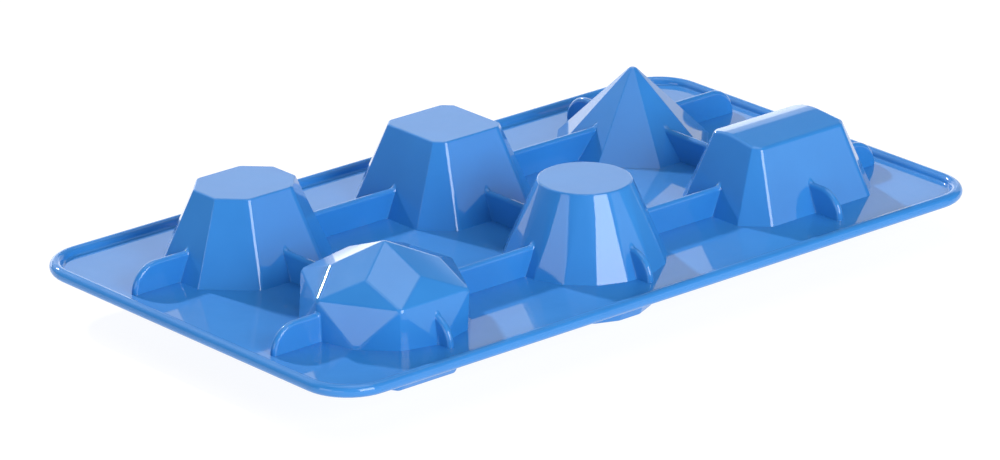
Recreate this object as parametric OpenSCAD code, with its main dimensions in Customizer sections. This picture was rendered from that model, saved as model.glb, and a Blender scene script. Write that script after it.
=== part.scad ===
// Flexible moulding tray with six gem-shaped cups in two rows of three.
// It stands on the fill-side collars, with the closed ends of the cups up.
// Origin: centre of the tray, on the surface that the collars stand on.
// +X runs along the tray, +Y towards its back row, +Z up.

/* [Tray] */
// Length of the tray over its edge bead
tray_length = 212.8; // [208:0.2:232]
// Width of the tray over its edge bead
tray_width = 120; // [118:0.2:136]
// Radius of the tray's corners over the bead
corner_radius = 13.2; // [8:0.2:18]
// Thickness of the flat sheet
sheet_thickness = 1.5; // [1:0.1:2.4]
// Diameter of the round bead along the edge
bead_diameter = 3.2; // [2.6:0.1:4]

/* [Cups] */
// Distance between cup centres along a row
column_pitch = 64.6; // [62:0.2:67]
// Distance between the centre lines of the two rows
row_pitch = 52.9; // [50:0.1:55]
// Height of a flat-topped cup above the sheet
cup_height = 20.4; // [16:0.2:22]
// Wall thickness of cups and collars
wall = 1.8; // [1.4:0.1:2.2]
// Inward lean of the side walls for each millimetre of height
side_lean = 0.42; // [0.36:0.01:0.44]

/* [Collars] */
// Depth of the collar around each cup's mouth, below the sheet
collar_depth = 10.1; // [6:0.1:12]
// How far a collar narrows from the sheet to its rim
collar_taper = 3.6; // [1:0.1:4]

/* [Ribs] */
// Height of the ribs above the sheet
rib_height = 7.2; // [5:0.1:8]
// Thickness of the ribs, which have a round top edge
rib_thickness = 2; // [1.6:0.1:2.6]
// Distance from the tray's end to the foot of an end rib
end_gap = 6.4; // [6:0.1:7]
// Distance from the tray's long edge to the foot of an edge rib
edge_gap = 8.8; // [8:0.1:9]

/* [Hidden] */

blue = "royalblue";
// How far a cutting shape runs past the face it cuts
past = 1;
round_steps = 48;

// Heights over the surface that the tray stands on
sheet_bottom = collar_depth;
sheet_top = sheet_bottom + sheet_thickness;
bead_radius = bead_diameter / 2;

// Cup centres: three columns in a front row and a back row
left = -column_pitch;
middle = 0;
right = column_pitch;
front = -row_pitch / 2;
back = row_pitch / 2;
// The emerald cup sits a little outwards from its column
emerald_right = right + 1.1;

// Outlines of the cups on the sheet: half sizes and 45 degree corner cuts, or apothems
octagon_half = [21.3, 18.7];
octagon_cut = 11;
square_half = [19.6, 19.6];
square_cut = 7.4;
emerald_half = [23.3, 16.4];
emerald_cut = 6.3;
fluted_sides = 16;
fluted_apothem = 20.3;
pyramid_sides = 8;
pyramid_apothem = 19.6;

// The pyramid ends in a small blunt tip
pyramid_height = cup_height;
pyramid_tip = 0.8;
pyramid_lean = (pyramid_apothem - pyramid_tip) / pyramid_height;

// The emerald cup has a low ridge along its top, nearer to its back wall
ridge_height = cup_height - 1.1;
ridge_offset = 3;
ridge_fall_back = 0.21;
ridge_fall_front = 0.11;

// The rose-cut cup: twelve-sided base, six-cornered waist and star, and a tip
rose_base = 21;
rose_waist = 21.5;
rose_star = 13.3;
rose_tip = 0.6;
rose_height = cup_height;
rose_waist_height = 0.51 * rose_height;
// Its collar narrows to a hexagon
rose_rim = rose_waist - collar_taper;

// Thickness of a leaning wall, measured level
function across(lean) = wall * sqrt(1 + lean * lean);

// A rectangle with its corners cut off at 45 degrees, moved inwards by inset
function cut_rectangle(half, cut, inset) =
    let (x = half[0] - inset, y = half[1] - inset, c = cut - inset * (2 - sqrt(2)))
    [[x, c - y], [x, y - c], [x - c, y], [c - x, y],
     [-x, y - c], [-x, c - y], [c - x, -y], [x - c, -y]];

// A regular outline with flat sides square to X and Y, moved inwards by inset
function regular(sides, apothem, inset) =
    let (r = (apothem - inset) / cos(180 / sides))
    [for (i = [0:sides - 1]) let (a = (i - 0.5) * 360 / sides) r * [cos(a), sin(a)]];

// Twelve points that alternate between two radii
function twelve(even, odd) =
    [for (i = [0:11]) (i % 2 == 0 ? even : odd) * [cos(30 * i), sin(30 * i)]];

function octagon_outline(inset = 0) = cut_rectangle(octagon_half, octagon_cut, inset);
function square_outline(inset = 0) = cut_rectangle(square_half, square_cut, inset);
function emerald_outline(inset = 0) = cut_rectangle(emerald_half, emerald_cut, inset);
function fluted_outline(inset = 0) = regular(fluted_sides, fluted_apothem, inset);
function pyramid_outline(inset = 0) = regular(pyramid_sides, pyramid_apothem, inset);
function rose_outline(inset = 0) = twelve(rose_base - inset, rose_base - inset);
function rose_rim_outline(inset = 0) = twelve(rose_rim - inset, (rose_rim - inset) * cos(30));

function ring(outline, z) = [for (p = outline) [p[0], p[1], z]];

// Closed solid through a stack of rings, each with the same even number of points.
// The lines that halve the side panels fan out from the even points of the lower rings.
module loft(rings) {
    n = len(rings[0]);
    m = len(rings);
    panels = [
        for (k = [0:m - 2], i = [0:n - 1])
            let (j = (i + 1) % n, a = k * n + i, b = k * n + j, c = a + n, d = b + n)
            each (i % 2 == 0 ? [[a, c, d], [a, d, b]] : [[a, c, b], [c, d, b]])
    ];
    bottom = [for (i = [0:n - 1]) i];
    top = [for (i = [n - 1:-1:0]) (m - 1) * n + i];
    polyhedron([for (r = rings) each r], concat([bottom], panels, [top]));
}

// The base of a form: one ring on z = 0, and for a cutter one more below it
function foot(outline, cutter) = concat(cutter ? [ring(outline, -past)] : [], [ring(outline, 0)]);

module lean_form(base, top, height, cutter)
    loft(concat(foot(base, cutter), [ring(top, height)]));

// Cup forms stand on z = 0. Their inset and skin are zero outside, and the wall inside.
module octagon_form(inset = 0, skin = 0, cutter = true) {
    h = cup_height - skin;
    lean_form(octagon_outline(inset), octagon_outline(inset + side_lean * h), h, cutter);
}

module square_form(inset = 0, skin = 0, cutter = true) {
    h = cup_height - skin;
    lean_form(square_outline(inset), square_outline(inset + side_lean * h), h, cutter);
}

module fluted_form(inset = 0, skin = 0, cutter = true) {
    h = cup_height - skin;
    lean_form(fluted_outline(inset), fluted_outline(inset + side_lean * h), h, cutter);
}

module pyramid_form(inset = 0, cutter = true) {
    reach = pyramid_apothem - pyramid_tip;
    lean_form(pyramid_outline(inset), pyramid_outline(reach), (reach - inset) / pyramid_lean,
        cutter);
}

module emerald_form(inset = 0, skin = 0, cutter = true) {
    reach = 2 * emerald_half[0];
    ridge = ridge_height - skin;
    back_drop = ridge_fall_back * (reach - ridge_offset);
    front_drop = ridge_fall_front * (reach + ridge_offset);
    intersection() {
        lean_form(emerald_outline(inset),
            emerald_outline(inset + side_lean * ridge_height), ridge_height, cutter);
        translate([-reach, 0, 0])
            rotate([90, 0, 90])
                linear_extrude(2 * reach)
                    polygon([[-reach, -2 * past], [reach, -2 * past], [reach, ridge - back_drop],
                             [ridge_offset, ridge], [-reach, ridge - front_drop]]);
    }
}

// Six corners at one height, the first of them at the given angle
function six(radius, first, z) =
    [for (k = [0:5]) [radius * cos(first + 60 * k), radius * sin(first + 60 * k), z]];

// Six kites run from the corners of the waist to the tip, and the star's corners lie in
// their planes. Triangles fill in between the kites, and between the waist and the base.
module rose_form(inset = 0, skin = 0, cutter = true) {
    h = rose_height - skin;
    shrink = (rose_base - inset) / rose_base;
    waist = rose_waist * shrink;
    star = rose_star * shrink;
    waist_height = rose_waist_height * h / rose_height;
    tip = rose_tip * cos(30);
    star_height = h - (h - waist_height) * (star * cos(30) - tip) / (waist - tip);
    rings = foot(rose_outline(inset), cutter);
    // Numbers of the first point in each ring
    base_0 = 12 * (len(rings) - 1);
    waist_0 = base_0 + 12;
    star_0 = waist_0 + 6;
    tip_0 = star_0 + 6;
    skirt = [for (i = [0:1:base_0 - 1]) [i, i + 12, 12 + (i + 1) % 12, (i + 1) % 12]];
    facets = [for (k = [0:5])
        let (
            next = (k + 1) % 6, last = (k + 5) % 6,
            b = base_0 + 2 * k + 1, b_next = base_0 + 2 * next,
            w = waist_0 + k, w_next = waist_0 + next, s = star_0 + k
        )
        each [
            [b - 1, w, b], [b, w, w_next], [b, w_next, b_next], [w, s, w_next],
            [w, star_0 + last, tip_0 + last, tip_0 + k, s]
        ]
    ];
    polyhedron(
        concat([for (r = rings) each r], six(waist, 0, waist_height),
            six(star, 30, star_height), six(rose_tip, 30, h)),
        concat([[for (i = [0:11]) i]], skirt, facets, [[for (k = [5:-1:0]) tip_0 + k]]));
}

module at(x, y) translate([x, y, sheet_top]) children();

// A cup is its outer form less its inner form
module cup(x, y)
    color(blue) at(x, y) difference() {
        children(0);
        children(1);
    }

module octagon_cup()
    cup(left, back) {
        octagon_form(cutter = false);
        octagon_form(across(side_lean), wall);
    }

module square_cup()
    cup(middle, back) {
        square_form(cutter = false);
        square_form(across(side_lean), wall);
    }

module pyramid_cup()
    cup(right, back) {
        pyramid_form(cutter = false);
        pyramid_form(across(pyramid_lean));
    }

module rose_cup()
    cup(left, front) {
        rose_form(cutter = false);
        rose_form(across(side_lean), wall);
    }

module fluted_cup()
    cup(middle, front) {
        fluted_form(cutter = false);
        fluted_form(across(side_lean), wall);
    }

module emerald_cup()
    cup(emerald_right, front) {
        emerald_form(cutter = false);
        emerald_form(across(side_lean), wall);
    }

// A collar hangs from the sheet and narrows to its rim, which the tray stands on
module collar(x, y, mouth, rim, mouth_inside, rim_inside) {
    color(blue) translate([x, y, 0]) difference() {
        loft([ring(rim, 0), ring(mouth, sheet_bottom)]);
        loft([
            ring(rim_inside, -past), ring(rim_inside, 0),
            ring(mouth_inside, sheet_bottom), ring(mouth_inside, sheet_bottom + past)
        ]);
    }
}

module octagon_collar()
    collar(left, back, octagon_outline(), octagon_outline(collar_taper),
        octagon_outline(across(side_lean)), octagon_outline(collar_taper + across(side_lean)));

module square_collar()
    collar(middle, back, square_outline(), square_outline(collar_taper),
        square_outline(across(side_lean)), square_outline(collar_taper + across(side_lean)));

module pyramid_collar()
    collar(right, back, pyramid_outline(), pyramid_outline(collar_taper),
        pyramid_outline(across(pyramid_lean)),
        pyramid_outline(collar_taper + across(pyramid_lean)));

module rose_collar()
    collar(left, front, rose_outline(), rose_rim_outline(),
        rose_outline(across(side_lean)), rose_rim_outline(across(side_lean)));

module fluted_collar()
    collar(middle, front, fluted_outline(), fluted_outline(collar_taper),
        fluted_outline(across(side_lean)), fluted_outline(collar_taper + across(side_lean)));

module emerald_collar()
    collar(emerald_right, front, emerald_outline(), emerald_outline(collar_taper),
        emerald_outline(across(side_lean)), emerald_outline(collar_taper + across(side_lean)));

// Rectangle with round corners, moved inwards from the tray's outline
module tray_outline(inset) {
    x = tray_length / 2 - inset;
    y = tray_width / 2 - inset;
    r = corner_radius - inset;
    translate([r - x, -y]) square([2 * (x - r), 2 * y]);
    translate([-x, r - y]) square([2 * x, 2 * (y - r)]);
    for (i = [-1, 1], j = [-1, 1])
        translate([i * (x - r), j * (y - r)]) circle(r, $fn = round_steps);
}

module mouth(x, y, outline)
    translate([x, y]) polygon(outline);

// Flat sheet with an opening under each cup, out to the inner side of the bead
module base_sheet()
    color(blue) translate([0, 0, sheet_bottom]) linear_extrude(sheet_thickness) difference() {
        tray_outline(bead_diameter);
        mouth(left, back, octagon_outline(across(side_lean)));
        mouth(middle, back, square_outline(across(side_lean)));
        mouth(right, back, pyramid_outline(across(pyramid_lean)));
        mouth(left, front, rose_outline(across(side_lean)));
        mouth(middle, front, fluted_outline(across(side_lean)));
        mouth(emerald_right, front, emerald_outline(across(side_lean)));
    }

// Round bead with a foot that fills the corner towards the sheet
module bead_section() {
    translate([0, bead_radius]) circle(bead_radius, $fn = round_steps);
    translate([-bead_radius, 0]) square([bead_radius, sheet_thickness]);
}

module bead_run(length)
    rotate([90, 0, 0]) translate([0, 0, -length / 2]) linear_extrude(length) bead_section();

module perimeter_bead() {
    x = tray_length / 2 - bead_radius;
    y = tray_width / 2 - bead_radius;
    r = corner_radius - bead_radius;
    color(blue) translate([0, 0, sheet_bottom]) {
        for (turn = [0, 180]) rotate([0, 0, turn]) {
            translate([x, 0, 0]) bead_run(2 * (y - r));
            rotate([0, 0, 90]) translate([y, 0, 0]) bead_run(2 * (x - r));
            translate([x - r, y - r, 0])
                rotate_extrude(angle = 90, $fn = 2 * round_steps)
                    translate([r, 0]) bead_section();
            translate([x - r, r - y, 0]) rotate([0, 0, -90])
                rotate_extrude(angle = 90, $fn = 2 * round_steps)
                    translate([r, 0]) bead_section();
        }
    }
}

// Ribs run along +X from a cup's centre and lose what is inside the cups
module rib_section() {
    translate([-rib_thickness / 2, 0]) square([rib_thickness, rib_height - rib_thickness / 2]);
    translate([0, rib_height - rib_thickness / 2]) circle(d = rib_thickness, $fn = round_steps);
}

module rib_run(length)
    rotate([90, 0, 90]) linear_extrude(length) rib_section();

// The free end of a rib turns down to the sheet in a quarter circle
module rib_nose()
    rotate([90, 0, 0]) rotate_extrude(angle = 90, $fn = 2 * round_steps)
        rotate([0, 0, -90]) rib_section();

module joining_rib(x, y, direction, length)
    color(blue) difference() {
        at(x, y) rotate([0, 0, direction]) rib_run(length);
        children();
    }

module free_rib(x, y, direction, length)
    color(blue) difference() {
        at(x, y) rotate([0, 0, direction]) {
            rib_run(length - rib_height);
            translate([length - rib_height, 0, 0]) rib_nose();
        }
        children();
    }

module row_rib(x, y)
    joining_rib(x, y, 0, column_pitch) children();

module cross_rib(x)
    joining_rib(x, front, 90, row_pitch) children();

module end_rib(side, y)
    free_rib(side * column_pitch, y, side > 0 ? 0 : 180,
        tray_length / 2 - end_gap - column_pitch) children();

module edge_rib(x, side)
    free_rib(x, side * row_pitch / 2, side * 90,
        tray_width / 2 - edge_gap - row_pitch / 2) children();

module octagon_block() at(left, back) octagon_form();
module square_block() at(middle, back) square_form();
module pyramid_block() at(right, back) pyramid_form();
module rose_block() at(left, front) rose_form();
module fluted_block() at(middle, front) fluted_form();
module emerald_block() at(emerald_right, front) emerald_form();

base_sheet();
perimeter_bead();

octagon_cup();
square_cup();
pyramid_cup();
rose_cup();
fluted_cup();
emerald_cup();

octagon_collar();
square_collar();
pyramid_collar();
rose_collar();
fluted_collar();
emerald_collar();

row_rib(left, back) { octagon_block(); square_block(); }  // rib_octagon_square
row_rib(middle, back) { square_block(); pyramid_block(); }  // rib_square_pyramid
row_rib(left, front) { rose_block(); fluted_block(); }  // rib_rose_fluted
row_rib(middle, front) { fluted_block(); emerald_block(); }  // rib_fluted_emerald

cross_rib(left) { octagon_block(); rose_block(); }  // rib_octagon_rose
cross_rib(middle) { square_block(); fluted_block(); }  // rib_square_fluted
cross_rib(right) { pyramid_block(); emerald_block(); }  // rib_pyramid_emerald

end_rib(-1, back) octagon_block();  // end_rib_octagon
end_rib(-1, front) rose_block();  // end_rib_rose
end_rib(1, back) pyramid_block();  // end_rib_pyramid
end_rib(1, front) emerald_block();  // end_rib_emerald

edge_rib(left, 1) octagon_block();  // edge_rib_octagon
edge_rib(middle, 1) square_block();  // edge_rib_square
edge_rib(right, 1) pyramid_block();  // edge_rib_pyramid
edge_rib(left, -1) rose_block();  // edge_rib_rose
edge_rib(middle, -1) fluted_block();  // edge_rib_fluted
edge_rib(right, -1) emerald_block();  // edge_rib_emerald
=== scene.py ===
"""Looks of a blue silicone moulding tray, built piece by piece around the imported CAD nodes.

Every CAD node gets one finished piece with rounded edges, sunk a little into its neighbours
where they are one moulding. Sizes and places come from the nodes' own boxes, and what a box
can't tell is a named value below.
"""

import math

import bmesh
import bpy
from mathutils import Matrix, Vector


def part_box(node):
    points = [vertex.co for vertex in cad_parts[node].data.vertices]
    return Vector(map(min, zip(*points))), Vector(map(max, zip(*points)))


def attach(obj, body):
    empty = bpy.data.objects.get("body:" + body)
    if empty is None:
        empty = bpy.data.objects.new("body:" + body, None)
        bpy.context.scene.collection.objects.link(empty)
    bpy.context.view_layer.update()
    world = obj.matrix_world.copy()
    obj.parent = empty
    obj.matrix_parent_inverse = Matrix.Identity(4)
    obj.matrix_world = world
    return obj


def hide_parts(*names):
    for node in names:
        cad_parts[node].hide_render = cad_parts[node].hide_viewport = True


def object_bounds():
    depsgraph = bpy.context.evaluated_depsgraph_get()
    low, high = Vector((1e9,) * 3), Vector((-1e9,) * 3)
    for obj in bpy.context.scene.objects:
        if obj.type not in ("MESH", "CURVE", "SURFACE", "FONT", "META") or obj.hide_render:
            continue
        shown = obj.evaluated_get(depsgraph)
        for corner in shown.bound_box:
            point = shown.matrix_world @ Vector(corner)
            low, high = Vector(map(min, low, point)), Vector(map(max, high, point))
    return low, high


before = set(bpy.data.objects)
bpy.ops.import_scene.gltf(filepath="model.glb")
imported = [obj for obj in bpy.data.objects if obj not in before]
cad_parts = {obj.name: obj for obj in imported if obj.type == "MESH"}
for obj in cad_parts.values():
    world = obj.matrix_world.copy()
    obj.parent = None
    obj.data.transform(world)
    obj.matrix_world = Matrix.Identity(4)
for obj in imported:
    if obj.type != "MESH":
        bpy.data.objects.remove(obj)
CAD_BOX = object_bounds()

MM = 0.001
SQRT2 = math.sqrt(2)

# The moulding's walls, as in the CAD model
WALL = 1.8 * MM
SIDE_LEAN = 0.42
PYRAMID_TIP = 0.8 * MM
OCTAGON_CUT = 11 * MM
SQUARE_CUT = 7.4 * MM
EMERALD_CUT = 6.3 * MM
FLUTES = 16
COLLAR_TAPER = 3.6 * MM

# The emerald cup's roof: a soft ridge along X, behind the middle
RIDGE_OFFSET = 3 * MM
FALL_BACK = 0.21
FALL_FRONT = 0.136
RIDGE_SOFTNESS = 2.2 * MM

# The rose-cut cup: waist height as a share of its height, and the star's radius
WAIST_SHARE = 0.51
STAR_RADIUS = 13.3 * MM

# Rounding of the moulded edges
EDGE = 2.2 * MM
END_SOFTNESS = 0.3
CROWN = 0.55 * MM
CAVITY_EDGE = 0.5 * MM
RIM = 0.65 * MM
RIB_FLARE = 1.1 * MM
SIDE_FLARE = 0.25
RIB_INTO_WALL = 1.2 * MM
# How far feet reach into the sheet, so that they meet it in a crisp line
SUNK = 0.4 * MM
ROSE_EDGE = 0.42 * MM
BEAD_FOOT = 0.6 * MM
FLUTED_EDGE = 0.5 * MM
PYRAMID_EDGE = 0.45 * MM
PYRAMID_CROWN = 0.8 * MM
EMERALD_CROWN = 1.1 * MM
TINY = 0.02 * MM

# How finely curves are divided, and what a mesh is cleaned of
ARC_STEPS = 6
CREST_STEPS = 16
NOSE_STEPS = 20
BEAD_STEPS = 32
ROOF_STEPS = 14
ROOF_PASSES = 3
BEVEL_SEGMENTS = 3
CORNER_STEP_DEGREES = 9
MERGE_DISTANCE = 0.004 * MM
LEAST_EDGE = 0.002 * MM
# Edges that turn more than SHARP stay hard, and facets meet at more than FACET_ANGLE
SHARP = math.radians(34)
FACET_ANGLE = math.radians(4)
# Walls that move in by more than this for their height meet at a point
POINTED_LEAN = 0.5
# A round top blends in over this share of the crown's height
ROUND_TOP_SHARE = 0.9

SHEET_LOW, SHEET_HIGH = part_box("base_sheet")
SHEET_BOTTOM = SHEET_LOW.z
SHEET_TOP = SHEET_HIGH.z


# ---------------------------------------------------------------- outlines and rings


def cut_rectangle(half_x, half_y, cut):
    """Sides of a rectangle with its corners cut at 45 degrees.

    Each side is (facing, distance, softness of the corner after it). The corners beside the
    end faces are sharper.
    """
    diagonal = (half_x + half_y - cut) / SQRT2
    distances = (half_x, diagonal, half_y, diagonal)
    softness = (END_SOFTNESS, 1, 1, END_SOFTNESS)
    return [(45 * i, distances[i % 4], softness[i % 4]) for i in range(8)]


def regular(count, apothem):
    return [(360 / count * i, apothem, 1) for i in range(count)]


def corner(sides, i, inset):
    """Where side i meets the next one, after both have moved inwards."""
    (a, p, _), (b, q, _) = sides[i], sides[(i + 1) % len(sides)]
    a, b = math.radians(a), math.radians(b)
    p, q = p - inset, q - inset
    turn = math.sin(b - a)
    return (
        (p * math.sin(b) - q * math.sin(a)) / turn,
        (q * math.cos(a) - p * math.cos(b)) / turn,
    )


def ring(sides, inset, radius, z, flat_steps=1):
    """Outline with round corners at one height.

    Flats that don't face front or back can carry points, in flat_steps steps.
    """
    points = []
    for i in range(len(sides)):
        start = sides[i][0]
        turn = (sides[(i + 1) % len(sides)][0] - start) % 360
        steps = max(2, math.ceil(turn / CORNER_STEP_DEGREES))
        soft = radius * sides[i][2]
        x, y = corner(sides, i, inset + soft)
        for j in range(steps + 1):
            a = math.radians(start + turn * j / steps)
            points.append((x + soft * math.cos(a), y + soft * math.sin(a), z))
        n = (i + 1) % len(sides)
        soft = radius * sides[n][2]
        following = corner(sides, n, inset + soft)
        facing = round(start + turn) % 180
        a = math.radians(start + turn)
        end = (following[0] + soft * math.cos(a), following[1] + soft * math.sin(a))
        begin = points[-1]
        for j in range(1, 1 if facing == 90 else flat_steps):
            t = j / flat_steps
            points.append(
                (begin[0] + (end[0] - begin[0]) * t, begin[1] + (end[1] - begin[1]) * t, z)
            )
    return points


def wall_profile(lean, height, edge, sunk, crown):
    """Stations up a leaning wall, each (inset, height, corner radius). The crown is round."""
    slope = math.atan(lean)
    stations = [(-lean * sunk, -sunk, edge)]
    centre = lean * (height - crown) + crown / math.cos(slope)
    touch = centre - crown * math.cos(slope)
    for j in range(ARC_STEPS + 1):
        a = slope + (math.pi / 2 - slope) * j / ARC_STEPS
        inset = centre - crown * math.cos(a)
        z = height - crown + crown * math.sin(a)
        stations.append((inset, z, max(TINY, edge - (inset - touch))))
    return stations


def across(lean):
    """Thickness of a leaning wall, measured level."""
    return WALL * math.sqrt(1 + lean * lean)


# ---------------------------------------------------------------- meshes


def skin(bm, rings, cyclic=False):
    """Side faces through a stack of rings. Returns the rings' vertices."""
    rows = [[bm.verts.new(p) for p in r] for r in rings]
    pairs = list(zip(rows, rows[1:]))
    if cyclic:
        pairs.append((rows[-1], rows[0]))
    for low, high in pairs:
        for i in range(len(low)):
            j = (i + 1) % len(low)
            bm.faces.new((low[i], low[j], high[j], high[i]))
    return rows


def finish_piece(bm, node, place=(0, 0, 0)):
    """Cleans a mesh, makes it an object that stands for its CAD node, and gives its finish."""
    bmesh.ops.remove_doubles(bm, verts=bm.verts, dist=MERGE_DISTANCE)
    bmesh.ops.dissolve_degenerate(bm, edges=bm.edges, dist=LEAST_EDGE)
    bmesh.ops.recalc_face_normals(bm, faces=bm.faces)
    bm.normal_update()
    bmesh.ops.translate(bm, vec=Vector(place), verts=bm.verts)
    for edge in bm.edges:
        edge.smooth = len(edge.link_faces) != 2 or edge.calc_face_angle() < SHARP
    for face in bm.faces:
        face.smooth = True
    mesh = bpy.data.meshes.new(node + "_moulded")
    bm.to_mesh(mesh)
    bm.free()
    piece = bpy.data.objects.new(node + "_moulded", mesh)
    bpy.context.scene.collection.objects.link(piece)
    normals = piece.modifiers.new("flat_faces_stay_flat", "WEIGHTED_NORMAL")
    normals.keep_sharp = True
    mesh.materials.append(SILICONE)
    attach(piece, "root")
    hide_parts(node)
    return piece


def centre_of(node):
    low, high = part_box(node)
    return (low.x + high.x) / 2, (low.y + high.y) / 2


def half_size(node):
    low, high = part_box(node)
    return (high.x - low.x) / 2, (high.y - low.y) / 2


def height_of(node):
    low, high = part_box(node)
    return high.z - low.z


# ---------------------------------------------------------------- cups


def roof_drop(y):
    """How far the emerald cup's roof lies below its ridge, along y."""
    behind = y - RIDGE_OFFSET
    steep = (FALL_BACK + FALL_FRONT) / 2
    even = (FALL_BACK - FALL_FRONT) / 2
    return steep * (math.hypot(behind, RIDGE_SOFTNESS) - RIDGE_SOFTNESS) + even * behind


def roofed_ring(sides, station, lean, shift):
    """A ring near the top of the emerald cup, let down the wall to follow the roof."""
    inset, z, radius = station
    points = ring(sides, inset + shift, radius, z, ROOF_STEPS)
    settled = []
    for i, point in enumerate(points):
        for _ in range(ROOF_PASSES):
            lower = roof_drop(point[1])
            let_down = ring(sides, inset + shift - lean * lower, radius, z - lower, ROOF_STEPS)
            point = let_down[i]
        settled.append(point)
    return settled


def ladder_cap(bm, row):
    """Closes an outline that is symmetric in x with strips that run along x."""
    right = sorted((v for v in row if v.co.x > 0), key=lambda v: v.co.y)
    left = sorted((v for v in row if v.co.x < 0), key=lambda v: v.co.y)
    for i in range(len(right) - 1):
        bm.faces.new((right[i], right[i + 1], left[i + 1], left[i]))


def cup(node, sides, lean, edge=EDGE, crown=CROWN, round_top=False, roofed=False):
    """A hollow cup: from its ceiling down inside, across the foot and up outside."""
    height = height_of(node)
    inner_height = height - WALL
    if lean > POINTED_LEAN:
        inner_height = (sides[0][1] - PYRAMID_TIP - across(lean)) / lean
    wall = across(lean)
    inner = wall_profile(lean, inner_height, CAVITY_EDGE, 0, CAVITY_EDGE)
    outer = wall_profile(lean, height, edge, SUNK, crown)
    if round_top:
        outer = [
            (inset, z, radius if z < height - crown * ROUND_TOP_SHARE else sides[0][1] - inset - TINY)
            for inset, z, radius in outer
        ]
    steps = ROOF_STEPS if roofed else 1

    def place(station, shift, last):
        if roofed and last:
            return roofed_ring(sides, station, lean, shift)
        return ring(sides, station[0] + shift, station[2], station[1], steps)

    rings = [place(s, wall, s[1] > 0) for s in reversed(inner)]
    rings += [place(s, 0, s[1] > height / 2) for s in outer]
    bm = bmesh.new()
    rows = skin(bm, rings)
    for row in (rows[0], rows[-1]):
        if roofed:
            ladder_cap(bm, row)
        else:
            bm.faces.new(row)
    x, y = centre_of(node)
    return finish_piece(bm, node, (x, y, SHEET_TOP))


def circle_points(count, radius, first=0.0):
    return [
        (radius * math.cos(math.radians(first + 360 * i / count)),
         radius * math.sin(math.radians(first + 360 * i / count)))
        for i in range(count)
    ]


def add_ring(bm, points, z):
    return [bm.verts.new((x, y, z)) for x, y in points]


def join_rings(bm, low, high):
    for i in range(len(low)):
        j = (i + 1) % len(low)
        bm.faces.new((low[i], low[j], high[j], high[i]))


def rose_facets(bm, base, waist_radius, waist_z, star_radius, star_z, top_z):
    """Triangles up to the waist, then kites and triangles up to the point."""
    waist = add_ring(bm, circle_points(6, waist_radius), waist_z)
    star = add_ring(bm, circle_points(6, star_radius, 30), star_z)
    point = bm.verts.new((0, 0, top_z))
    for k in range(6):
        middle = base[2 * k + 1]
        w, w_next = waist[k], waist[(k + 1) % 6]
        bm.faces.new((base[2 * k], w, middle))
        bm.faces.new((middle, w, w_next))
        bm.faces.new((middle, w_next, base[(2 * k + 2) % 12]))
        bm.faces.new((w, star[k], w_next))
        bm.faces.new((w, star[k], point, star[k - 1]))


def bevel_facets(bm, offset, lowest, highest):
    """Rounds every edge between facets that reaches into a range of heights."""
    bmesh.ops.recalc_face_normals(bm, faces=bm.faces)
    bm.normal_update()
    edges = [
        e for e in bm.edges
        if e.calc_face_angle() > FACET_ANGLE
        and any(lowest < v.co.z < highest for v in e.verts)
    ]
    bmesh.ops.bevel(
        bm, geom=edges, offset=offset, offset_type="OFFSET", segments=BEVEL_SEGMENTS, profile=0.5,
        affect="EDGES", clamp_overlap=True, loop_slide=True,
    )


def rose_cup(node):
    waist_radius, base_radius = half_size(node)
    height = height_of(node)
    bm = bmesh.new()
    base = add_ring(bm, circle_points(12, base_radius + SUNK * SIDE_LEAN / 4), -SUNK)

    def facets(start, shrink, top):
        waist = waist_radius * shrink
        waist_z = WAIST_SHARE * top
        star = STAR_RADIUS * shrink
        star_z = top - (top - waist_z) * star * math.cos(math.radians(30)) / waist
        rose_facets(bm, start, waist, waist_z, star, star_z, top)

    facets(base, 1, height)
    inner_base = add_ring(bm, circle_points(12, base_radius - across(SIDE_LEAN)), 0)
    facets(inner_base, 1 - across(SIDE_LEAN) / base_radius, height - WALL)
    join_rings(bm, base, inner_base)
    bevel_facets(bm, ROSE_EDGE, TINY, height + TINY)
    x, y = centre_of(node)
    return finish_piece(bm, node, (x, y, SHEET_TOP))


# ---------------------------------------------------------------- collars


def collar(node, sides, lean):
    """Hangs below the sheet and narrows to a rounded rim. Its heights are depths here."""
    depth = SHEET_BOTTOM
    taper = COLLAR_TAPER / depth
    slope = math.atan(taper)
    wall = across(lean)
    centre = wall + taper * (depth - RIM) - RIM / math.cos(slope)
    touch = centre + RIM * math.cos(slope)
    inner = [(wall, 0, CAVITY_EDGE)]
    for j in range(ARC_STEPS + 1):
        a = -slope + (math.pi / 2 + slope) * j / ARC_STEPS
        inset = centre + RIM * math.cos(a)
        inner.append((inset, depth - RIM + RIM * math.sin(a), CAVITY_EDGE + touch - inset))
    outer = wall_profile(taper, depth, EDGE, SUNK, RIM)
    bm = bmesh.new()
    stations = inner + outer[::-1]
    skin(bm, [ring(sides, i, r, SHEET_BOTTOM - z) for i, z, r in stations], cyclic=True)
    x, y = centre_of(node)
    return finish_piece(bm, node, (x, y, 0))


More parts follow.
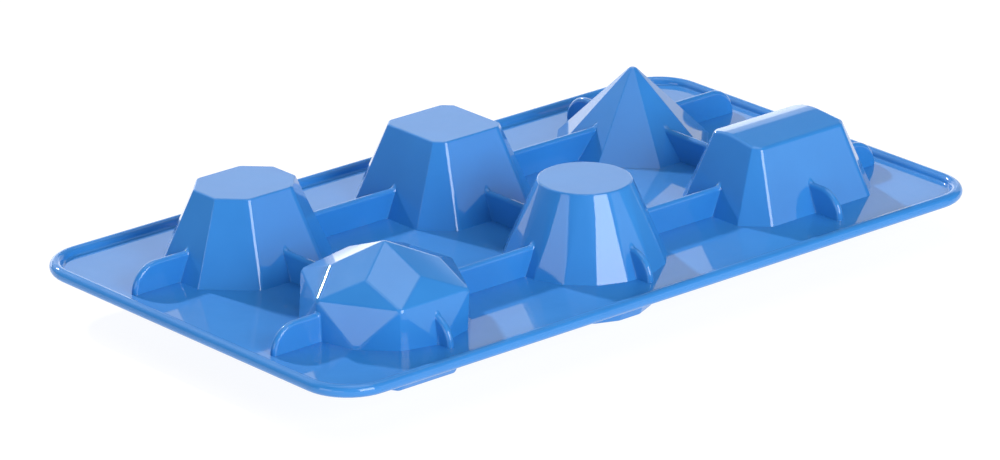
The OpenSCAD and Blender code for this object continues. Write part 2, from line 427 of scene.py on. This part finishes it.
def rose_collar(node, base_radius, waist_radius):
    """Twelve-sided at the sheet, six-sided at its rim."""
    bm = bmesh.new()
    rim_radius = waist_radius - COLLAR_TAPER
    wall = across(SIDE_LEAN)
    mouth = add_ring(bm, circle_points(12, base_radius), SHEET_BOTTOM + SUNK)
    inner_mouth = add_ring(bm, circle_points(12, base_radius - wall), SHEET_BOTTOM)
    join_rings(bm, mouth, inner_mouth)
    rim = add_ring(bm, circle_points(6, rim_radius), 0)
    inner_rim = add_ring(bm, circle_points(6, rim_radius - wall), 0)
    join_rings(bm, rim, inner_rim)
    for upper, lower in ((mouth, rim), (inner_mouth, inner_rim)):
        for k in range(6):
            following = lower[(k + 1) % 6]
            middle = upper[2 * k + 1]
            bm.faces.new((lower[k], upper[2 * k], middle))
            bm.faces.new((lower[k], middle, following))
            bm.faces.new((following, middle, upper[(2 * k + 2) % 12]))
    bevel_facets(bm, ROSE_EDGE, -TINY, TINY)
    x, y = centre_of(node)
    return finish_piece(bm, node, (x, y, 0))


# ---------------------------------------------------------------- ribs


def crest_at(s, lean, height, nose):
    """Point and normal of a rib's crest line at distance s from a leaning wall.

    The crest runs level up to the nose, then falls on a quarter circle. Both are (x, z).
    """
    level = s - lean * height
    if level <= nose:
        return (level, height), (0, 1)
    reach = height * math.hypot(1, lean)
    angle = math.atan(lean) + math.acos((s - nose) / reach)
    normal = (math.cos(angle), math.sin(angle))
    return (nose + height * normal[0], height * normal[1]), normal


def wall_stations(lean, height, nose=math.inf):
    """Stations of a rib next to a wall: (foot, crest point, crest normal, swelling).

    The crest swells up along the wall, so that no part of it stands off the wall.
    """
    stations = []
    for j in range(-1, ARC_STEPS + 1):
        a = math.pi / 2 * max(j, 0) / ARC_STEPS
        s = -RIB_INTO_WALL if j < 0 else RIB_FLARE * (1 - math.cos(a))
        point, normal = crest_at(s, lean, height, nose)
        swelling = RIB_FLARE * (1 - math.sin(a))
        stations.append((s, point, normal, (-lean * swelling, swelling)))
    return stations


def nose_stations(foot, normal, height, nose, half):
    """Stations on from the wall's last one, round the nose and down into the sheet."""
    angle = math.atan2(normal[1], normal[0])
    toe = nose + height - half
    stations = []
    for j in range(NOSE_STEPS + 1):
        share = j / NOSE_STEPS
        a = angle * (1 - share)
        facing = (math.cos(a), math.sin(a))
        point = (nose + height * facing[0], height * facing[1])
        stations.append((foot + (toe - foot) * share, point, facing, (0, 0)))
    stations.append((toe, (nose + height, -SUNK), (1, 0), (0, 0)))
    return stations


def rib_section(station, half):
    """One section of a rib, from its left foot over the round crest to its right foot."""
    foot, (x, z), (out, up), (back, rise) = station
    wide = half + SIDE_FLARE * rise
    x, z = x - half * out, z - half * up
    over = (half * out + back, half * up + rise)
    points = [(foot, -wide, -SUNK)]
    for j in range(CREST_STEPS + 1):
        a = math.pi * j / CREST_STEPS
        share = math.sin(a)
        points.append((x + share * over[0], -wide * math.cos(a), z + share * over[1]))
    return points + [(foot, wide, -SUNK)]


def rib(node, start_lean, end_lean=None, turn=0):
    """A rib from one cup's wall to another's, or to a round free end on the sheet.

    turn is the way it runs from its first cup, in degrees. The walls lean away from it.
    """
    low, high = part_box(node)
    contact = high.z - low.z
    along_x = turn % 180 == 0
    half = ((high.y - low.y) if along_x else (high.x - low.x)) / 2
    length = (high.x - low.x) if along_x else (high.y - low.y)
    foot = max(0.0, start_lean) * contact
    end = length - foot - max(0.0, end_lean or 0) * contact
    if end_lean is None:
        nose = end - RIB_HEIGHT
        stations = wall_stations(start_lean, RIB_HEIGHT, nose)
        last_foot, _, last_normal, _ = stations[-1]
        stations += nose_stations(last_foot, last_normal, RIB_HEIGHT, nose, half)
    else:
        stations = wall_stations(start_lean, RIB_HEIGHT)
        for s, (x, z), normal, (back, rise) in reversed(wall_stations(end_lean, RIB_HEIGHT)):
            stations.append((end - s, (end - x, z), normal, (-back, rise)))
    bm = bmesh.new()
    rows = [[bm.verts.new(p) for p in rib_section(station, half)] for station in stations]
    for near, far in zip(rows, rows[1:]):
        for i in range(len(near) - 1):
            bm.faces.new((near[i], near[i + 1], far[i + 1], far[i]))
    bm.faces.new(rows[0])
    bm.faces.new(rows[-1])
    bm.faces.new([row[0] for row in rows] + [row[-1] for row in reversed(rows)])
    middle_x, middle_y = centre_of(node)
    start = {
        0: (low.x + foot, middle_y),
        90: (middle_x, low.y + foot),
        180: (high.x - foot, middle_y),
        270: (middle_x, high.y - foot),
    }[turn]
    bmesh.ops.rotate(bm, verts=bm.verts, cent=(0, 0, 0),
                     matrix=Matrix.Rotation(math.radians(turn), 3, "Z"))
    return finish_piece(bm, node, (*start, SHEET_TOP))


# ---------------------------------------------------------------- sheet and bead


def rectangle(half_x, half_y):
    return [(0, half_x, 1), (90, half_y, 1), (180, half_x, 1), (270, half_y, 1)]


def perimeter_bead(node, corner_radius, radius):
    """Round bead with a fillet to the sheet's top. Its section is (outwards, up)."""
    x, y = half_size(node)
    up = SHEET_TOP - SHEET_BOTTOM
    rise = up + BEAD_FOOT - radius
    reach = math.sqrt((radius + BEAD_FOOT) ** 2 - rise ** 2)
    start = math.atan2(rise, -reach)
    section = [(-radius, 0), (-radius, up)]
    tangent = math.atan2(-rise, reach)
    for j in range(ARC_STEPS + 1):
        a = -math.pi / 2 + (tangent + math.pi / 2) * j / ARC_STEPS
        section.append((BEAD_FOOT * math.cos(a) - reach, up + BEAD_FOOT + BEAD_FOOT * math.sin(a)))
    for j in range(1, BEAD_STEPS + 1):
        a = start + (-math.pi / 2 - start) * j / BEAD_STEPS
        section.append((radius * math.cos(a), radius + radius * math.sin(a)))
    sides = rectangle(x - radius, y - radius)
    rings = [
        ring(sides, -out, corner_radius - radius + out, SHEET_BOTTOM + z) for out, z in section
    ]
    bm = bmesh.new()
    skin(bm, rings, cyclic=True)
    return finish_piece(bm, node)


def base_sheet(node, corner_radius, openings):
    """Flat sheet with an opening under every cup."""
    x, y = half_size(node)
    outlines = [[(px, py) for px, py, _ in ring(rectangle(x, y), 0, corner_radius, 0)]]
    outlines += openings
    bm = bmesh.new()
    for z in (SHEET_TOP, SHEET_BOTTOM):
        edges = []
        for outline in outlines:
            row = add_ring(bm, outline, z)
            edges += [bm.edges.new((row[i - 1], row[i])) for i in range(len(row))]
        bmesh.ops.triangle_fill(bm, use_beauty=True, edges=edges)
    for outline in outlines:
        join_rings(bm, add_ring(bm, outline, SHEET_BOTTOM), add_ring(bm, outline, SHEET_TOP))
    return finish_piece(bm, node)


# ---------------------------------------------------------------- material

BLUE_DEEP = (0.014, 0.195, 0.57)
BLUE_PALE = (0.018, 0.215, 0.61)
# Where the blend between the two blues starts and ends in the noise
MOTTLE_RANGE = (0.3, 0.7)
SILICONE_IOR = 1.44
# A soft haze below a clear glossy skin
GLOSS = (0.6, 0.7)
HAZE = 0.45
COAT = 1
COAT_ROUGHNESS = 0.05
# Noise patterns: how fine they are, per metre, and how deep
MOTTLE_SCALE = 60
GLOSS_SCALE = 250
WAVE_SCALE = 35
WAVE_DEPTH = 0.05 * MM
GRAIN_SCALE = 2500
GRAIN_DEPTH = 0.002 * MM


def silicone():
    """Glossy pigmented silicone: a deep even blue with a faint mottle and a soft wave."""
    material = bpy.data.materials.new("blue_silicone")
    material.use_nodes = True
    nodes, links = material.node_tree.nodes, material.node_tree.links
    shader = nodes["Principled BSDF"]
    shader.inputs["IOR"].default_value = SILICONE_IOR
    shader.inputs["Specular IOR Level"].default_value = HAZE
    shader.inputs["Coat Weight"].default_value = COAT
    shader.inputs["Coat Roughness"].default_value = COAT_ROUGHNESS
    shader.inputs["Coat IOR"].default_value = SILICONE_IOR
    place = nodes.new("ShaderNodeTexCoord").outputs["Object"]

    def noise(scale, detail):
        node = nodes.new("ShaderNodeTexNoise")
        node.inputs["Scale"].default_value = scale
        node.inputs["Detail"].default_value = detail
        links.new(place, node.inputs["Vector"])
        return node.outputs["Fac"]

    mottle = nodes.new("ShaderNodeValToRGB")
    mottle.color_ramp.elements[0].position = MOTTLE_RANGE[0]
    mottle.color_ramp.elements[0].color = (*BLUE_DEEP, 1)
    mottle.color_ramp.elements[1].position = MOTTLE_RANGE[1]
    mottle.color_ramp.elements[1].color = (*BLUE_PALE, 1)
    links.new(noise(MOTTLE_SCALE, 3), mottle.inputs["Fac"])
    links.new(mottle.outputs["Color"], shader.inputs["Base Color"])

    gloss = nodes.new("ShaderNodeMapRange")
    gloss.inputs["To Min"].default_value = GLOSS[0]
    gloss.inputs["To Max"].default_value = GLOSS[1]
    links.new(noise(GLOSS_SCALE, 2), gloss.inputs["Value"])
    links.new(gloss.outputs["Result"], shader.inputs["Roughness"])

    wave = nodes.new("ShaderNodeBump")
    wave.inputs["Strength"].default_value = 1
    wave.inputs["Distance"].default_value = WAVE_DEPTH
    links.new(noise(WAVE_SCALE, 1), wave.inputs["Height"])
    grain = nodes.new("ShaderNodeBump")
    grain.inputs["Strength"].default_value = 1
    grain.inputs["Distance"].default_value = GRAIN_DEPTH
    links.new(noise(GRAIN_SCALE, 2), grain.inputs["Height"])
    links.new(wave.outputs["Normal"], grain.inputs["Normal"])
    links.new(grain.outputs["Normal"], shader.inputs["Normal"])
    return material


SILICONE = silicone()


# ---------------------------------------------------------------- the moulding

BEAD_RADIUS = (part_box("perimeter_bead")[1].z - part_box("perimeter_bead")[0].z) / 2
CORNER_RADIUS = 13.2 * MM
RIB_HEIGHT = height_of("rib_octagon_square")
PYRAMID_LEAN = (half_size("pyramid_cup")[0] - PYRAMID_TIP) / height_of("pyramid_cup")
ROSE_WAIST, ROSE_BASE = half_size("rose_cup")
ROSE_WAIST_Z = WAIST_SHARE * height_of("rose_cup")
# How the rose cup's walls lean where a rib meets a corner and where it meets a side
ROSE_CORNER_LEAN = (ROSE_BASE - ROSE_WAIST) / ROSE_WAIST_Z
ROSE_SIDE_LEAN = (ROSE_BASE - ROSE_WAIST * math.cos(math.radians(30))) / ROSE_WAIST_Z

OUTLINES = {
    "octagon": cut_rectangle(*half_size("octagon_cup"), OCTAGON_CUT),
    "square": cut_rectangle(*half_size("square_cup"), SQUARE_CUT),
    "emerald": cut_rectangle(*half_size("emerald_cup"), EMERALD_CUT),
    "fluted": regular(FLUTES, half_size("fluted_cup")[0]),
    "pyramid": regular(8, half_size("pyramid_cup")[0]),
}
LEANS = {name: SIDE_LEAN for name in OUTLINES}
LEANS["pyramid"] = PYRAMID_LEAN


def opening(name):
    """The cup's inner outline, where the sheet is open."""
    x, y = centre_of(name + "_cup")
    if name == "rose":
        outline = circle_points(12, ROSE_BASE - across(SIDE_LEAN))
    else:
        rounded = ring(OUTLINES[name], across(LEANS[name]), CAVITY_EDGE, 0)
        outline = [(px, py) for px, py, _ in rounded]
    return [(x + px, y + py) for px, py in outline]


cup("octagon_cup", OUTLINES["octagon"], SIDE_LEAN)
cup("square_cup", OUTLINES["square"], SIDE_LEAN)
cup("fluted_cup", OUTLINES["fluted"], SIDE_LEAN, edge=FLUTED_EDGE, round_top=True)
cup("emerald_cup", OUTLINES["emerald"], SIDE_LEAN, crown=EMERALD_CROWN, roofed=True)
cup("pyramid_cup", OUTLINES["pyramid"], PYRAMID_LEAN, edge=PYRAMID_EDGE,
    crown=PYRAMID_CROWN)
rose_cup("rose_cup")

for name in OUTLINES:
    collar(name + "_collar", OUTLINES[name], LEANS[name])
rose_collar("rose_collar", ROSE_BASE, ROSE_WAIST)

rib("rib_octagon_square", SIDE_LEAN, SIDE_LEAN)
rib("rib_square_pyramid", SIDE_LEAN, PYRAMID_LEAN)
rib("rib_rose_fluted", ROSE_CORNER_LEAN, SIDE_LEAN)
rib("rib_fluted_emerald", SIDE_LEAN, SIDE_LEAN)
rib("rib_octagon_rose", ROSE_SIDE_LEAN, SIDE_LEAN, turn=90)
rib("rib_square_fluted", SIDE_LEAN, SIDE_LEAN, turn=90)
rib("rib_pyramid_emerald", SIDE_LEAN, PYRAMID_LEAN, turn=90)
rib("end_rib_octagon", SIDE_LEAN, turn=180)
rib("end_rib_rose", ROSE_CORNER_LEAN, turn=180)
rib("end_rib_pyramid", PYRAMID_LEAN)
rib("end_rib_emerald", SIDE_LEAN)
rib("edge_rib_octagon", SIDE_LEAN, turn=90)
rib("edge_rib_square", SIDE_LEAN, turn=90)
rib("edge_rib_pyramid", PYRAMID_LEAN, turn=90)
rib("edge_rib_rose", ROSE_SIDE_LEAN, turn=270)
rib("edge_rib_fluted", SIDE_LEAN, turn=270)
rib("edge_rib_emerald", SIDE_LEAN, turn=270)

perimeter_bead("perimeter_bead", CORNER_RADIUS, BEAD_RADIUS)
base_sheet("base_sheet", CORNER_RADIUS - 2 * BEAD_RADIUS,
           [opening(name) for name in [*OUTLINES, "rose"]])


# ---------------------------------------------------------------- floor, light and camera

# The floor glows, so that it is just white all over and hardly takes a shadow
FLOOR_SIZE = 8
FLOOR_GREY = 0.1
FLOOR_GLOW = 0.92
FLOOR_ROUGHNESS = 0.9
WORLD_STRENGTH = 0.12
LAMP_DISTANCE = 1.8
# Lamp panels: name, azimuth, elevation, width, height (degrees) and brightness
SOFTBOXES = [
    ("back_spot", 176.8, 31.9, 3, 3, 900.0),
    ("front_box", -4, 22, 30, 30, 9.2),
    ("front_fill", 34, 14, 22, 22, 1.1),
    ("left_box", -86, 10, 26, 30, 2.9),
    ("left_fill", -60, 8, 20, 20, 2.0),
    ("over_box", 0, 86, 40, 40, 1.4),
    ("top_box", 112, 68, 30, 30, 1.0),
    ("right_box", 112, 14, 30, 30, 0.8),
    ("back_low", 154, 4.5, 56, 15, 1.9),
    ("back_box", 142, 18.5, 36, 14, 0.95),
]
CAMERA_LENS_MM = 224.1
SENSOR_WIDTH_MM = 36
VIEW_DEPTH = 20
CAMERA_AZIMUTH = -41.44
CAMERA_ELEVATION = 20.77
CAMERA_DISTANCE = 1.5537
CAMERA_OFFSET = Vector((-2.8, 1.8, -5.0)) * MM


def floor():
    mesh = bpy.data.meshes.new("floor")
    s = FLOOR_SIZE / 2
    mesh.from_pydata([(-s, -s, 0), (s, -s, 0), (s, s, 0), (-s, s, 0)], [], [(0, 1, 2, 3)])
    plane = bpy.data.objects.new("floor", mesh)
    bpy.context.scene.collection.objects.link(plane)
    material = bpy.data.materials.new("floor_white")
    material.use_nodes = True
    shader = material.node_tree.nodes["Principled BSDF"]
    shader.inputs["Base Color"].default_value = (FLOOR_GREY, FLOOR_GREY, FLOOR_GREY, 1)
    shader.inputs["Roughness"].default_value = FLOOR_ROUGHNESS
    shader.inputs["Emission Color"].default_value = (1, 1, 1, 1)
    shader.inputs["Emission Strength"].default_value = FLOOR_GLOW
    mesh.materials.append(material)


def toward(azimuth, elevation):
    """Unit vector from the object to a viewer or lamp. Azimuth 0 is in front, along -Y."""
    a, e = math.radians(azimuth), math.radians(elevation)
    return Vector((math.sin(a) * math.cos(e), -math.cos(a) * math.cos(e), math.sin(e)))


def aim(thing, azimuth, elevation, distance, target):
    direction = toward(azimuth, elevation)
    thing.location = target + direction * distance
    thing.rotation_euler = direction.to_track_quat("Z", "Y").to_euler()


def softbox(name, azimuth, elevation, width, height, brightness):
    """A lamp panel by its direction, its size in degrees and its brightness."""
    data = bpy.data.lights.new(name, "AREA")
    data.shape = "RECTANGLE"
    data.size = 2 * LAMP_DISTANCE * math.tan(math.radians(width / 2))
    data.size_y = 2 * LAMP_DISTANCE * math.tan(math.radians(height / 2))
    data.energy = math.pi * data.size * data.size_y * brightness
    lamp = bpy.data.objects.new(name, data)
    bpy.context.scene.collection.objects.link(lamp)
    lamp.visible_camera = False
    aim(lamp, azimuth, elevation, LAMP_DISTANCE, Vector((0, 0, SHEET_TOP)))


def studio_world():
    world = bpy.data.worlds.new("studio")
    world.use_nodes = True
    world.node_tree.nodes["Background"].inputs["Color"].default_value = (1, 1, 1, 1)
    world.node_tree.nodes["Background"].inputs["Strength"].default_value = WORLD_STRENGTH
    bpy.context.scene.world = world


def camera():
    data = bpy.data.cameras.new("camera")
    data.lens = CAMERA_LENS_MM
    data.sensor_width = SENSOR_WIDTH_MM
    data.clip_end = VIEW_DEPTH
    eye = bpy.data.objects.new("camera", data)
    bpy.context.scene.collection.objects.link(eye)
    low, high = CAD_BOX
    middle = Vector((low[0] + high[0], low[1] + high[1], low[2] + high[2])) / 2
    aim(eye, CAMERA_AZIMUTH, CAMERA_ELEVATION, CAMERA_DISTANCE, middle + CAMERA_OFFSET)
    bpy.context.scene.camera = eye


floor()
studio_world()
for box in SOFTBOXES:
    softbox(*box)
camera()
bpy.context.scene.view_settings.view_transform = "Standard"
